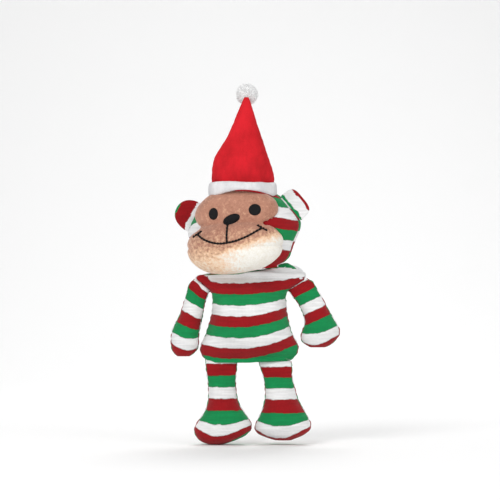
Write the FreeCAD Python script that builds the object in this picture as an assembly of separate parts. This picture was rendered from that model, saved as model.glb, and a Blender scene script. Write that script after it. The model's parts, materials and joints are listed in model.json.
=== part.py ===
import FreeCAD, Part
import math
import os
from FreeCAD import Placement, Rotation, Vector

# A soft plush monkey in striped pyjamas and a pointed festive hat, standing upright.
# Millimetres.  +Z is up and the face looks along -Y, so the toy's own left side is at +X.
# The origin is under the middle of the toy, at the level of its lowest sole.
# Every stuffed piece is a pillow: a front panel and a back panel sewn round a filling.

os.makedirs("parts", exist_ok=True)

MIDLINE_X = -5.2        # the tunic's midline, beside the middle of the whole toy
MIDPLANE_Y = 6.9        # the side seams' plane, behind the middle of the whole toy
WALL = 1.4              # knitted panel with its backing
FAR = 400.0             # larger than the toy, for cutting boxes
RIM_POINTS = 16         # points that shape one cross-section
LAYERS = 9              # cross-sections that shape one ellipsoid
POLE_SIZE = 0.08        # an ellipsoid's end section, as a share of its middle one

# Cross-sections, from bottom to top: height, middle x, half width, half depth
TUNIC = [
    (64.6, 0, 31.0, 1.0), (67, 0, 34.5, 5.0), (71, 0, 37.6, 10.5), (77, 0, 38.8, 16.5),
    (86, 0, 35.2, 22.0), (96, 0, 31.6, 24.5), (106, 0, 30.0, 24.5), (114, 0, 29.6, 22.5),
    (120, 0, 30.3, 18.0), (125, 0, 35.8, 13.0), (129, 0.5, 40.8, 9.2), (132, 1, 44.0, 6.0),
    (134.2, 1, 42.0, 4.2), (135.5, 1, 33.0, 2.6),
]
SHOULDER_MIDDLE = Vector(32, 0, 134)        # the toy's left shoulder, which stands higher
SHOULDER_HALF = Vector(13, 6.5, 9.2)
HAT_CONE = [
    (207.3, -4.8, 24.5, 0.8), (211, -5.0, 24.8, 4.8), (217, -5.2, 24.0, 8.5),
    (225, -5.5, 22.0, 10.5), (235, -4.6, 17.5, 11.0), (244.5, -3.6, 13.0, 9.8),
    (256.4, -3.0, 8.6, 7.4), (265, -2.5, 5.3, 5.0), (270, -2.1, 3.7, 3.4), (274.3, -2.0, 1.6, 1.5),
]
HAT_Y = -5.0            # the hat sits a little in front of the tunic's middle plane

# Limb cross-sections, from the seam to the end: x, z, tilt, half width, half depth
LIMBS = {
    "arm_left": [
        (39.5, 125.5, 33, 9.2, 0.8), (43.1, 121.7, 29, 10.2, 3.2), (47.2, 115.6, 20, 9.9, 6.0),
        (51.7, 106.6, 15, 10.2, 9.0), (55.5, 97.5, 7, 12.1, 10.6), (56.9, 90.5, 0, 15.0, 11.0),
        (55.8, 85.2, 0, 15.0, 10.2), (54.7, 81.3, 0, 12.8, 8.4), (54.5, 78.2, 0, 9.0, 5.4),
        (54.2, 76.6, 0, 4.6, 2.4),
    ],
    "arm_right": [
        (-37.9, 124.9, -38, 7.8, 0.8), (-40.2, 121.5, -32, 8.8, 3.2), (-42.2, 115.6, -21, 8.4, 6.0),
        (-44.2, 107.6, -11, 8.7, 8.6), (-46.8, 98.7, -7, 9.5, 10.2), (-49.7, 91.3, -3, 10.8, 11.0),
        (-50.6, 84.0, 0, 11.2, 11.0), (-50.6, 77.5, 0, 10.9, 9.4), (-51.2, 72.2, 0, 8.2, 6.4),
        (-51.3, 69.5, 0, 4.4, 2.6),
    ],
    "leg_left": [
        (21.0, 63.2, 0, 13.2, 0.8), (22.1, 57.2, 0, 12.2, 3.8), (23.8, 47.0, 0, 11.8, 8.8),
        (25.2, 39.0, 0, 12.6, 11.6), (26.2, 33.0, 0, 14.2, 13.2), (27.1, 27.0, 0, 16.9, 14.6),
        (27.2, 21.0, 0, 20.1, 15.6), (26.8, 15.5, 0, 22.3, 16.0), (26.2, 11.0, 0, 21.6, 15.0),
        (26.0, 7.2, 0, 16.8, 11.6), (26.4, 4.4, 0, 9.5, 6.6), (27.0, 3.2, 0, 4.8, 3.2),
    ],
    "leg_right": [
        (-21.8, 63.2, 0, 12.8, 0.8), (-21.6, 57.2, 0, 12.2, 3.8), (-21.3, 47.0, 0, 11.1, 8.8),
        (-20.8, 38.0, 0, 11.5, 11.6), (-20.2, 31.0, 0, 13.4, 13.4), (-19.5, 24.5, 0, 17.0, 14.8),
        (-19.6, 18.5, 0, 21.0, 15.8), (-20.6, 13.0, 0, 22.8, 16.0), (-22.3, 8.0, 0, 20.6, 14.6),
        (-24.6, 4.0, 0, 15.6, 11.4), (-26.0, 1.2, 0, 9.4, 6.8), (-26.4, 0.0, 0, 4.8, 3.4),
    ],
}

# The head, in its own frame: level, looking along -Y, with its middle at 0, 0, 0
HEAD_X = -3.5
HEAD_Z = 168.6
HEAD_YAW = -13.0        # turned to the toy's own right
HEAD_ROLL = -5.6        # the toy's left ear is the higher one
HEAD = [
    (-29.4, 0, 21.0, 3.0), (-27.5, 0, 29.0, 8.5), (-24, 0, 33.6, 13.5), (-18, 0, 37.0, 19.0),
    (-10, 0, 40.6, 23.0), (-3, 0, 44.4, 25.5), (3, 0, 45.8, 26.6), (8, 0, 43.4, 27.0),
    (14, 0, 39.4, 26.5), (20, 0, 35.2, 24.5), (25, 0, 30.8, 21.0), (29, 0, 24.4, 16.5),
    (32, 0, 17.0, 11.5), (34, 0, 10.0, 6.0),
]
BROW_MIDDLE = Vector(-1.2, -16, 14.8)
BROW_HALF = Vector(33.5, 15.5, 18.5)
MUZZLE_MIDDLE = Vector(-4.9, -16, -10.4)
MUZZLE_HALF = Vector(38.3, 26, 20.3)
MUZZLE_FULLNESS = 0.8   # under 1 makes the muzzle squarer than an ellipsoid
BROW_TOP = 32.0         # the plush ends here, under the hat's band
CHIN_SEAM = -12.0       # height of the seam between the face plush and the chin plush
FACE_WALL = 1.6
THREAD = 0.8            # height of the embroidery above the plush
NOSE_THREAD = 1.6

EYE_X = 16.6
EYE_Z = 15.6
EYE_HALF_WIDTH = 4.4
EYE_HALF_HEIGHT = 4.8
NOSE_X = -1.1
NOSE_Z = 10.6
NOSE_TILT = 12.0
NOSE_HALF_WIDTH = 7.1
NOSE_HALF_HEIGHT = 3.6
SMILE_X = -5.0
SMILE_HALF = 26.0
SMILE_END_Z = 1.2
SMILE_MIDDLE_Z = -7.0
SMILE_LINE = 1.1        # width of the stitched line
TICK_LENGTH = 9.5       # the stitch that crosses each end of the smile
TICK_TILT = 32.0

EAR_RADIUS = 12.6
EAR_HALF = 1.4          # thickness of each of an ear's two layers
EAR_MIDDLE = Vector(40.8, 0, 15.7)
EAR_LEAN = 55.5         # the ear's base line leans this far from level
EAR_BASE = 41.4         # the base line's distance from the head's middle

BAND_X = -5.0
BAND_Y = -5.5
CROWN_HALF_WIDTH = 21.4
CROWN_HALF_DEPTH = 17.4
BAND = [
    (194.8, BAND_X, 23.6, 21.6), (196.6, BAND_X, 26.0, 24.2), (200.8, BAND_X, 27.0, 25.0),
    (204.6, BAND_X, 26.4, 23.4), (206.4, BAND_X, 24.6, 20.5),
]
BAND_ARCH_RADIUS = 56.0     # the band's lower edge arches over the forehead
BAND_ARCH_TOP = 200.7
POM_RADIUS = 8.7
POM_MIDDLE = Vector(-1.6, 6.2, 277.0)


def oval(x, y, z, tilt, half_width, half_depth):
    """A closed oval wire whose plane is level, or tilted about Y."""
    points = []
    for i in range(RIM_POINTS):
        turn = 2 * math.pi * i / RIM_POINTS
        points.append(Vector(half_width * math.cos(turn), half_depth * math.sin(turn), 0))
    curve = Part.BSplineCurve()
    curve.interpolate(Points=points, PeriodicFlag=True)
    wire = Part.Wire(curve.toShape())
    wire.Placement = Placement(Vector(x, y, z), Rotation(Vector(0, 1, 0), -tilt))
    return wire


def pillow(sections, y=0.0, inset=0.0):
    """A smooth closed solid through the sections, or the smaller one inside a wall."""
    wires = []
    for x, z, tilt, half_width, half_depth in sorted(sections, key=lambda section: section[1]):
        if half_depth > 2.5 * inset:
            wires.append(oval(x, y, z, tilt, half_width - inset, half_depth - inset))
    return Part.makeLoft(wires, True, False)


def level(sections):
    """Level sections given as height, middle x, half width, half depth."""
    return [(x, z, 0, half_width, half_depth) for z, x, half_width, half_depth in sections]


def ellipsoid(middle, half, fullness=1.0):
    """An ellipsoid, or a squarer pillow of the same size, made of round sections."""
    sections = []
    for i in range(LAYERS + 1):
        latitude = math.pi * (i / LAYERS - 0.5)
        round_size = max(math.cos(latitude), POLE_SIZE) ** fullness
        height = middle.z + half.z * math.sin(latitude)
        sections.append((middle.x, height, 0, half.x * round_size, half.y * round_size))
    return pillow(sections, middle.y)


def front_of(y):
    return Part.makeBox(2 * FAR, FAR, 2 * FAR, Vector(-FAR, y - FAR, -FAR))


def behind(y):
    return Part.makeBox(2 * FAR, FAR, 2 * FAR, Vector(-FAR, y, -FAR))


def above(z):
    return Part.makeBox(2 * FAR, 2 * FAR, FAR, Vector(-FAR, -FAR, z))


def below(z):
    return Part.makeBox(2 * FAR, 2 * FAR, FAR, Vector(-FAR, -FAR, z - FAR))


def sewn(name, outside, filling, y=0.0):
    """The front panel, back panel and filling of one stuffed piece."""
    shell = outside.cut(filling)
    return {
        name + "_front": shell.common(front_of(y)),
        name + "_back": shell.common(behind(y)),
        name + "_stuffing": filling,
    }


def sewn_pillow(name, sections, y=0.0):
    """The front panel, back panel and filling of a pillow."""
    return sewn(name, pillow(sections, y), pillow(sections, y, WALL), y)


def tunic(inset):
    """The tunic with its higher shoulder, or the space inside its wall."""
    shoulder = ellipsoid(SHOULDER_MIDDLE, SHOULDER_HALF - Vector(inset, inset, inset))
    return pillow(level(TUNIC), 0, inset).fuse(shoulder)


def prism(wire, depth=FAR):
    """Everything in front of the head's middle plane, inside an outline drawn on it."""
    return Part.Face(wire).extrude(Vector(0, -depth, 0))


def upright_oval(x, z, half_width, half_height, tilt=0.0):
    """An oval outline in the XZ plane."""
    wire = oval(0, 0, 0, 0, half_width, half_height)
    wire.rotate(Vector(0, 0, 0), Vector(1, 0, 0), 90)
    wire.rotate(Vector(0, 0, 0), Vector(0, 1, 0), -tilt)
    wire.translate(Vector(x, 0, z))
    return wire


def face_pad(inset):
    """The brow and the muzzle, drawn together, smaller by the inset."""
    shrink = Vector(inset, inset, inset)
    brow = ellipsoid(BROW_MIDDLE, BROW_HALF - shrink).common(below(BROW_TOP))
    return brow.fuse(ellipsoid(MUZZLE_MIDDLE, MUZZLE_HALF - shrink, MUZZLE_FULLNESS))


def smile_line():
    """The mouth: an arc, a stitch across each end, and the line up to the nose."""
    half = SMILE_LINE / 2
    corners = []
    for offset in (-half, half):
        start = Vector(SMILE_X - SMILE_HALF, 0, SMILE_END_Z + offset)
        middle = Vector(SMILE_X, 0, SMILE_MIDDLE_Z + offset)
        end = Vector(SMILE_X + SMILE_HALF, 0, SMILE_END_Z + offset)
        corners.append((start, middle, end))
    low, high = corners
    wire = Part.Wire([
        Part.Arc(*low).toShape(),
        Part.LineSegment(low[2], high[2]).toShape(),
        Part.Arc(high[2], high[1], high[0]).toShape(),
        Part.LineSegment(high[0], low[0]).toShape(),
    ])
    line = prism(wire)
    for side in (-1, 1):
        tick = Part.makeBox(TICK_LENGTH, FAR, SMILE_LINE, Vector(-TICK_LENGTH / 2, -FAR, -half))
        tick.rotate(Vector(0, 0, 0), Vector(0, 1, 0), side * TICK_TILT)
        tick.translate(Vector(SMILE_X + side * SMILE_HALF, 0, SMILE_END_Z))
        line = line.fuse(tick)
    philtrum_top = NOSE_Z - NOSE_HALF_HEIGHT
    length = philtrum_top - SMILE_MIDDLE_Z
    philtrum = Part.makeBox(SMILE_LINE, FAR, length, Vector(SMILE_X - half, -FAR, SMILE_MIDDLE_Z))
    return line.fuse(philtrum)


def face():
    """The tan face, its chin, its filling and its embroidery, in the head's frame."""
    skull = pillow(level(HEAD))
    outer = face_pad(0).cut(skull)
    filling = face_pad(FACE_WALL).cut(skull)
    plush = outer.cut(filling)
    raised = face_pad(-THREAD).cut(face_pad(0)).cut(skull)
    nose_raised = face_pad(-NOSE_THREAD).cut(face_pad(0)).cut(skull)
    nose_outline = upright_oval(NOSE_X, NOSE_Z, NOSE_HALF_WIDTH, NOSE_HALF_HEIGHT, NOSE_TILT)
    nose = nose_raised.common(prism(nose_outline))
    pieces = {
        "face_plush": plush.common(above(CHIN_SEAM)),
        "chin_plush": plush.common(below(CHIN_SEAM)),
        "face_stuffing": filling,
        "nose": nose,
        "mouth_stitching": raised.common(smile_line()).cut(prism(nose_outline)),
    }
    for name, side in (("eye_left", 1), ("eye_right", -1)):
        outline = upright_oval(side * EYE_X, EYE_Z, EYE_HALF_WIDTH, EYE_HALF_HEIGHT)
        pieces[name] = raised.common(prism(outline))
    return pieces


def ear(side):
    """The two layers of one ear: discs cut off along the seam line on the head."""
    middle = Vector(side * EAR_MIDDLE.x, 0, EAR_MIDDLE.z)
    keep = Part.makeBox(FAR, FAR, FAR, Vector(EAR_BASE, -FAR / 2, -FAR / 2))
    keep.rotate(Vector(0, 0, 0), Vector(0, 1, 0), EAR_LEAN - 90)
    if side < 0:
        keep = keep.mirror(Vector(0, 0, 0), Vector(1, 0, 0))
    disc_front = Part.makeCylinder(EAR_RADIUS, EAR_HALF, middle, Vector(0, -1, 0))
    disc_back = Part.makeCylinder(EAR_RADIUS, EAR_HALF, middle, Vector(0, 1, 0))
    return disc_front.common(keep), disc_back.common(keep)


def posed(shape):
    """A head piece, turned, rolled and set on the shoulders."""
    yaw = Rotation(Vector(0, 0, 1), HEAD_YAW)
    roll = Rotation(Vector(0, 1, 0), HEAD_ROLL)
    moved = shape.copy()
    moved.Placement = Placement(Vector(HEAD_X, 0, HEAD_Z), roll.multiply(yaw))
    return moved


def single(shape):
    """The one solid of a shape that holds one."""
    solids = sorted(shape.Solids, key=lambda solid: solid.Volume)
    return solids[-1]


nodes = {}
nodes.update(sewn("tunic", tunic(0), tunic(WALL)))
for limb_name, limb_sections in LIMBS.items():
    nodes.update(sewn_pillow(limb_name, limb_sections))

head_nodes = sewn_pillow("hood", level(HEAD))
head_nodes.update(face())
for ear_name, ear_side in (("ear_left", 1), ("ear_right", -1)):
    ear_front, ear_back = ear(ear_side)
    head_nodes[ear_name + "_front"] = ear_front
    head_nodes[ear_name + "_back"] = ear_back
for node, shape in head_nodes.items():
    nodes[node] = posed(shape)

# The hat: a band round the top of the head, a crown inside it, a cone and a pom-pom
head_solid = posed(pillow(level(HEAD)).fuse(face_pad(0)))
band_outside = pillow(level(BAND), BAND_Y)
ring_hole = pillow([(BAND_X, z, 0, CROWN_HALF_WIDTH, CROWN_HALF_DEPTH) for z in (190, 215)], BAND_Y)
band_arch = Part.makeCylinder(
    BAND_ARCH_RADIUS, FAR, Vector(BAND_X, BAND_Y, BAND_ARCH_TOP - BAND_ARCH_RADIUS), Vector(0, -1, 0))
nodes["hat_band"] = band_outside.cut(ring_hole).cut(head_solid).cut(band_arch)
nodes["hat_crown"] = band_outside.common(ring_hole).cut(head_solid)
nodes.update(sewn_pillow("hat", level(HAT_CONE), HAT_Y))
nodes["pom_pom"] = Part.makeSphere(POM_RADIUS, POM_MIDDLE)

for node, shape in nodes.items():
    solid = single(shape)
    solid.translate(Vector(MIDLINE_X, MIDPLANE_Y, 0))
    solid.exportStep("parts/" + node + ".step")
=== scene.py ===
import bmesh
import bpy
import json
import math
import numpy as np
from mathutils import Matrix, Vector, noise
from mathutils.bvhtree import BVHTree


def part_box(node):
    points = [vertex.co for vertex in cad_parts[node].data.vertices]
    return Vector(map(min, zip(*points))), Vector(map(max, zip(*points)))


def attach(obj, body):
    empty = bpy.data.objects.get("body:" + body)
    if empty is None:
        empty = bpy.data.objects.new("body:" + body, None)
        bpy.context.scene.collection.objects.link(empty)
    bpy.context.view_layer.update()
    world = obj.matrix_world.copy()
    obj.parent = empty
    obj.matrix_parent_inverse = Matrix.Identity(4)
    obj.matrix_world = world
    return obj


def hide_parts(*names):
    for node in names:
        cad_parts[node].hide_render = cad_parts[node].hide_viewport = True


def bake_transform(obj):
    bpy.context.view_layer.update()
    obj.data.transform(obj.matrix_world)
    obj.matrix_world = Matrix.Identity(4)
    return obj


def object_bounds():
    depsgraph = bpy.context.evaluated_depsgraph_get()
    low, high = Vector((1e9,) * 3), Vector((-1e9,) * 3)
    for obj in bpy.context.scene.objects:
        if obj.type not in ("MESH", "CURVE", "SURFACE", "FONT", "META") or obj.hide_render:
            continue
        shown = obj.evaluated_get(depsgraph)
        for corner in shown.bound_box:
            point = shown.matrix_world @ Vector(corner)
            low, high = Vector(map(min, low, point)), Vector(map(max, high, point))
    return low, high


# A stuffed monkey in striped knitted pyjamas and a pointed hat.  Metres, in the CAD's own frame.

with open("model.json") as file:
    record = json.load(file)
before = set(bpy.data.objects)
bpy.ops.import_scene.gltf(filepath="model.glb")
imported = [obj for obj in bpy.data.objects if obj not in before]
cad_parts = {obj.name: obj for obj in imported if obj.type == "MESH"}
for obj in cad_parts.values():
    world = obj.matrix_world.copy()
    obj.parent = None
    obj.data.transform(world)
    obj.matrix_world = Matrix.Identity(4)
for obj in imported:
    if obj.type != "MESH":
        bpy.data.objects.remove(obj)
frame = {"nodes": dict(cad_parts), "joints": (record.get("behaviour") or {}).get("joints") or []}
cad_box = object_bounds()

MM = 0.001
REACH = 0.2  # m from a piece's middle, where the rays that measure it start
FRONT = Vector((0, -1, 0))
SIDEWAYS = Vector((1, 0, 0))
JOINTS = {joint["name"]: joint for joint in frame["joints"]}

CLOTH_FRAMES = 20
SWELL_CAP = 0.0012  # m; the filling pushes no point of a skin further out than this
SPOKES = 72  # points round one section of a stuffed piece; even, so that a seam has its own

# A stripe number's whole part gives the stripe's colour, in threes: white, red, green.  Numbers
# start at a white stripe far enough up that none is negative.
FIRST_WHITE = 30


# ---- colours and node helpers

def linear(red, green, blue):
    """A screen colour, 0 to 255, as the linear colour that a shader takes."""
    def channel(value):
        share = value / 255
        if share <= 0.04045:
            return share / 12.92
        return ((share + 0.055) / 1.055) ** 2.4
    return (channel(red), channel(green), channel(blue), 1.0)


KNIT_WHITE = linear(240, 240, 240)
KNIT_RED = linear(154, 12, 21)
KNIT_GREEN = linear(14, 140, 78)
PLUSH_TAN = linear(191, 139, 117)
PLUSH_TAN_DARK = linear(152, 104, 84)
PLUSH_TAN_WARM = linear(208, 152, 128)
PLUSH_STRAW = linear(236, 198, 162)
# The two cream colours are a painted highlight on the plush face and chin.
PAINTED_HIGHLIGHT_CREAM = linear(247, 245, 240)
PAINTED_HIGHLIGHT_CREAM_DARK = linear(232, 226, 212)
PLUSH_SHEEN = linear(255, 236, 226)
VELOUR_RED = linear(212, 24, 37)
VELOUR_RED_DARK = linear(176, 12, 22)
VELOUR_WHITE = linear(248, 247, 248)
VELOUR_WHITE_DARK = linear(218, 218, 222)
THREAD = linear(15, 12, 16)
THREAD_DARK = linear(2, 1, 2)
YARN = linear(252, 252, 252)
YARN_PAINTED_SHADE = linear(232, 232, 232)
FIBRE = linear(246, 246, 246)
FIBRE_DARK = linear(196, 198, 202)
BACKDROP = (0.93, 0.93, 0.93, 1)


def set_inputs(node, values):
    for name, value in values.items():
        node.inputs[name].default_value = value


class Nodes:
    """A material's node tree, written as short steps."""

    def __init__(self, name):
        self.material = bpy.data.materials.new(name)
        self.material.use_nodes = True
        self.tree = self.material.node_tree
        self.shader = self.tree.nodes["Principled BSDF"]

    def add(self, kind, **settings):
        node = self.tree.nodes.new(kind)
        for key, value in settings.items():
            setattr(node, key, value)
        return node

    def join(self, output, target):
        self.tree.links.new(output, target)

    def attribute(self, name):
        return self.add("ShaderNodeAttribute", attribute_name=name).outputs

    def feed(self, sockets, values):
        for socket, value in zip(sockets, values):
            if isinstance(value, (int, float, tuple)):
                socket.default_value = value
            else:
                self.join(value, socket)

    def math(self, operation, *operands):
        node = self.add("ShaderNodeMath", operation=operation)
        self.feed(node.inputs, operands)
        return node.outputs[0]

    def place(self, scale=(1, 1, 1)):
        """The point's place on the object, in metres times the scale."""
        coordinates = self.add("ShaderNodeTexCoord")
        mapping = self.add("ShaderNodeMapping")
        set_inputs(mapping, {"Scale": scale})
        self.join(coordinates.outputs["Object"], mapping.inputs["Vector"])
        return mapping.outputs["Vector"]

    def noise(self, vector, scale, detail, roughness=0.6):
        node = self.add("ShaderNodeTexNoise")
        set_inputs(node, {"Scale": scale, "Detail": detail, "Roughness": roughness})
        self.join(vector, node.inputs["Vector"])
        return node.outputs["Fac"]

    def mix(self, factor, first, second, blend="MIX"):
        node = self.add("ShaderNodeMix", data_type="RGBA", blend_type=blend)
        self.feed([node.inputs[i] for i in (0, 6, 7)], (factor, first, second))
        return node.outputs[2]

    def spread(self, value, low, high, to_low=0.0, to_high=1.0):
        node = self.add("ShaderNodeMapRange")
        self.join(value, node.inputs["Value"])
        set_inputs(node, {"From Min": low, "From Max": high, "To Min": to_low, "To Max": to_high})
        return node.outputs["Result"]

    def parts(self, vector):
        """The three numbers of a vector."""
        node = self.add("ShaderNodeSeparateXYZ")
        self.join(vector, node.inputs[0])
        return node.outputs

    def colour(self, colour):
        self.join(colour, self.shader.inputs["Base Color"])

    def bump(self, height, strength, distance):
        node = self.add("ShaderNodeBump")
        set_inputs(node, {"Strength": strength, "Distance": distance})
        self.join(height, node.inputs["Height"])
        self.join(node.outputs["Normal"], self.shader.inputs["Normal"])

    def finish(self, roughness, sheen=0.0, sheen_roughness=0.5, tint=(1, 1, 1, 1)):
        set_inputs(self.shader, {
            "Roughness": roughness,
            "Specular IOR Level": 0.25,
            "Sheen Weight": sheen,
            "Sheen Roughness": sheen_roughness,
            "Sheen Tint": tint,
        })
        return self.material


# ---- materials

COLUMN = 1.1  # mm between the knit's columns of loops
ROW = 0.9  # mm between its rows
STITCH_RIDGE = 0.42  # mm between the threads of a satin stitch


def knit_material():
    """Striped cotton jersey.  The stitch attribute holds mm round, mm along, and the stripe number."""
    n = Nodes("striped_knit")
    round_mm, along_mm, stripe = n.parts(n.attribute("stitch")["Vector"])

    column = n.math("PINGPONG", n.math("MULTIPLY", round_mm, 1 / COLUMN), 0.5)
    wobble = n.spread(n.noise(n.place(), 160, 2), 0.3, 0.7, -0.05, 0.05)
    edge = n.math("ADD", n.math("MULTIPLY", column, 0.09), wobble)
    number = n.math("ADD", stripe, edge)
    share = n.math("FRACT", n.math("DIVIDE", number, 3.0))
    ramp = n.add("ShaderNodeValToRGB")
    ramp.color_ramp.interpolation = "CONSTANT"
    ramp.color_ramp.elements[0].color = KNIT_WHITE
    ramp.color_ramp.elements[1].position = 1 / 3
    ramp.color_ramp.elements[1].color = KNIT_RED
    ramp.color_ramp.elements.new(2 / 3).color = KNIT_GREEN
    n.join(share, ramp.inputs[0])

    row = n.math("ADD", n.math("MULTIPLY", along_mm, 1 / ROW), n.math("MULTIPLY", column, 1.6))
    loop = n.math("PINGPONG", row, 0.5)
    rib = n.math("MULTIPLY", n.math("SUBTRACT", 0.5, column), 1.2)
    relief = n.math("ADD", rib, loop)
    fuzz = n.noise(n.place(), 2600, 2)
    shade = n.spread(relief, 0.0, 1.1, 0.84, 1.04)
    cloudy = n.spread(n.noise(n.place(), 55, 3), 0.3, 0.75, 0.93, 1.05)
    # Painted shade: each stripe's edge is darkened into a thin line, as if shade lay in a crease there.
    painted_crease_shade = n.spread(n.math("PINGPONG", number, 0.5), 0.0, 0.06, 0.62, 1.0)
    streak = n.spread(n.noise(n.place((0.25, 0.25, 3)), 210, 2), 0.35, 0.65, 0.88, 1.04)
    tone = n.math("MULTIPLY", n.math("MULTIPLY", shade, cloudy), n.math("MULTIPLY", painted_crease_shade, streak))
    n.colour(n.mix(1.0, ramp.outputs[0], tone, "MULTIPLY"))
    n.bump(n.math("ADD", relief, n.math("MULTIPLY", fuzz, 0.5)), 0.55, 0.00035)
    return n.finish(0.9, 0.1, 0.45)


def plush_material(name):
    """Sheared plush pile, whose tan turns to straw and then cream with the fade attribute: a painted
    highlight, with straw flecks where the fade stays low.
    """
    n = Nodes(name)
    pile = n.noise(n.place(), 1500, 4, 0.75)
    tuft = n.noise(n.place(), 420, 3, 0.6)
    cloud = n.noise(n.place(), 70, 2)
    depth = n.math("ADD", n.math("MULTIPLY", pile, 0.6), n.math("MULTIPLY", tuft, 0.4))
    speckle = n.spread(depth, 0.36, 0.62)
    tan = n.mix(speckle, PLUSH_TAN_DARK, PLUSH_TAN)
    tan = n.mix(n.spread(cloud, 0.35, 0.7, 0.0, 0.35), tan, PLUSH_TAN_WARM)
    # Painted highlight: the straw and cream that the fade brings; its low values on the muzzle give straw
    # flecks.
    ragged = n.math("ADD", n.attribute("fade")["Fac"], n.spread(tuft, 0.3, 0.7, -0.22, 0.22))
    white = n.mix(speckle, PAINTED_HIGHLIGHT_CREAM_DARK, PAINTED_HIGHLIGHT_CREAM)
    straw = n.mix(n.spread(ragged, 0.1, 0.5), tan, PLUSH_STRAW)
    n.colour(n.mix(n.spread(ragged, 0.45, 0.95), straw, white))
    n.bump(depth, 0.8, 0.0009)
    return n.finish(0.95, 0.55, 0.4, PLUSH_SHEEN)


def velour_material(name, light, dark, sheen):
    """Smooth short velour, with its nap brushed a little unevenly, and painted shade that darkens it low on
    the hat.
    """
    n = Nodes(name)
    nap = n.noise(n.place((1, 1, 0.35)), 2400, 3, 0.7)
    brushed = n.noise(n.place((1, 1, 0.5)), 60, 3)
    tone = n.math("ADD", n.math("MULTIPLY", nap, 0.35), n.math("MULTIPLY", brushed, 0.65))
    worn = n.mix(n.spread(tone, 0.35, 0.6), dark, light)
    # Painted shade: darker towards the hat's lower edge, and on the band below it.
    low = n.math("ADD", n.parts(n.place())[2], n.spread(brushed, 0.3, 0.7, -0.012, 0.012))
    painted_low_shade = n.spread(low, 0.205, 0.228, 0.8, 1.0)
    n.colour(n.mix(1.0, worn, painted_low_shade, "MULTIPLY"))
    n.bump(nap, 0.35, 0.0003)
    return n.finish(0.8, sheen, 0.35, light)


def thread_material():
    """Black satin-stitch thread: fine parallel ridges along the stitch attribute."""
    n = Nodes("black_thread")
    across = n.parts(n.attribute("stitch")["Vector"])[0]
    ridge = n.math("PINGPONG", n.math("MULTIPLY", across, 1 / STITCH_RIDGE), 0.5)
    strand = n.noise(n.place(), 1800, 2)
    shade = n.spread(n.math("ADD", ridge, n.math("MULTIPLY", strand, 0.4)), 0.1, 0.8)
    n.colour(n.mix(shade, THREAD_DARK, THREAD))
    n.bump(ridge, 0.8, 0.0004)
    return n.finish(0.55)


def yarn_material():
    """White cut yarn, with painted shade that greys it in patches, as between the strands."""
    n = Nodes("white_yarn")
    strand = n.noise(n.place(), 1400, 3, 0.7)
    tuft = n.noise(n.place(), 260, 2)
    tone = n.math("ADD", n.math("MULTIPLY", strand, 0.5), n.math("MULTIPLY", tuft, 0.5))
    # Painted shade: the grey patches stand for shade between the strands.
    n.colour(n.mix(n.spread(tone, 0.35, 0.6), YARN_PAINTED_SHADE, YARN))
    n.bump(strand, 0.5, 0.0006)
    return n.finish(0.95, 0.4, 0.5)


def fibre_material():
    """Polyester filling, seen only if the toy is cut open."""
    n = Nodes("fibre_filling")
    strand = n.noise(n.place((1, 1, 3)), 900, 4, 0.8)
    n.colour(n.mix(n.spread(strand, 0.3, 0.7), FIBRE_DARK, FIBRE))
    n.bump(strand, 0.6, 0.001)
    return n.finish(0.9, 0.2)


MATERIALS = {
    "knit": knit_material(),
    "face_plush": plush_material("tan_plush"),
    "chin_plush": plush_material("chin_plush"),
    "thread": thread_material(),
    "red_velour": velour_material("red_velour", VELOUR_RED, VELOUR_RED_DARK, 0.35),
    "white_velour": velour_material("white_velour", VELOUR_WHITE, VELOUR_WHITE_DARK, 0.3),
    "white_yarn": yarn_material(),
    "filling": fibre_material(),
}


# ---- mesh helpers

def clamp(value):
    return min(1.0, max(0.0, value))


def bell(*distances):
    """1 at the middle, falling off evenly; each distance is a share of the bell's reach."""
    return math.exp(-sum(distance ** 2 for distance in distances))


def new_mesh(name, vertices, faces):
    mesh = bpy.data.meshes.new(name)
    mesh.from_pydata([tuple(v) for v in vertices], [], faces)
    return mesh


def link_object(name, data):
    thing = bpy.data.objects.new(name, data)
    bpy.context.collection.objects.link(thing)
    return thing


def smooth_piece(mesh, slot):
    """A mesh as a smooth-shaded piece of one material."""
    mesh.polygons.foreach_set("use_smooth", [True] * len(mesh.polygons))
    mesh.materials.append(MATERIALS[slot])
    piece = link_object(mesh.name, mesh)
    return piece


def new_piece(name, vertices, faces, slot, body=None, replaces=()):
    mesh = new_mesh(name, vertices, faces)
    mesh.validate()
    piece = smooth_piece(mesh, slot)
    if body:
        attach(piece, body)
    if replaces:
        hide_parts(*replaces)
    return piece


def set_stitches(mesh, values, domain="POINT"):
    attribute = mesh.attributes.new("stitch", "FLOAT_VECTOR", domain)
    attribute.data.foreach_set("vector", np.array(values, np.float32).ravel())


def add_part(vertices, faces, points, loops):
    """Adds a part's points and faces to a mesh in the making."""
    first = len(vertices)
    vertices += points
    faces += [tuple(first + i for i in loop) for loop in loops]


def tube_faces(rings, spokes, first=0, closed=False):
    """The quads between rings of points; closed joins the last ring to the first as well."""
    faces = []
    for i in range(rings if closed else rings - 1):
        a = first + i * spokes
        b = first + (i + 1) % rings * spokes
        for j in range(spokes):
            nxt = (j + 1) % spokes
            faces.append((a + j, a + nxt, b + nxt, b + j))
    return faces


def end_caps(rings, spokes):
    return [tuple(range(spokes)), tuple((rings - 1) * spokes + j for j in range(spokes))]


def ring(middle, across, up, radius, spokes):
    """Points round a circle."""
    turns = [2 * math.pi * j / spokes for j in range(spokes)]
    return [middle + (across * math.cos(turn) + up * math.sin(turn)) * radius for turn in turns]


def turn_outwards(mesh):
    bm = bmesh.new()
    bm.from_mesh(mesh)
    bmesh.ops.recalc_face_normals(bm, faces=bm.faces)
    bm.to_mesh(mesh)
    bm.free()


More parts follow.
